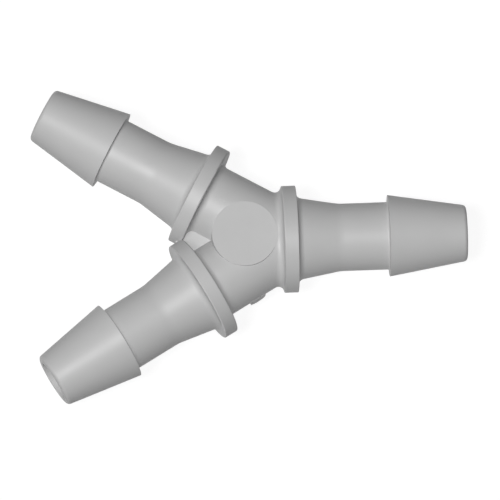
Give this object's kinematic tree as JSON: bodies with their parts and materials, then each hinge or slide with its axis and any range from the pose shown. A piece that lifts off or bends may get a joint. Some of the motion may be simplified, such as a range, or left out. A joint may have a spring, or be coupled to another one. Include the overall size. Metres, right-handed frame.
{
  "type": "tubing y connector",
  "caption": "Moulded Y connector for flexible tubing: each arm has a single hose barb and a stop collar, and the hub has flat round pads and a flat web in its fork.",
  "frame": {"origin": "the point in the hub where the axes of the three bores meet", "axes": "+X along the stem towards its tip, the branches lie in the XY plane at 150 degrees either side of it, +Z is the normal of that plane"},
  "size_m": [0.0586, 0.0432, 0.0144],
  "materials": {
    "moulded_plastic": "smooth moulded, low sheen"
  },
  "bodies": {
    "root": {"connector_body": "moulded_plastic"}
  },
  "joints": []
}
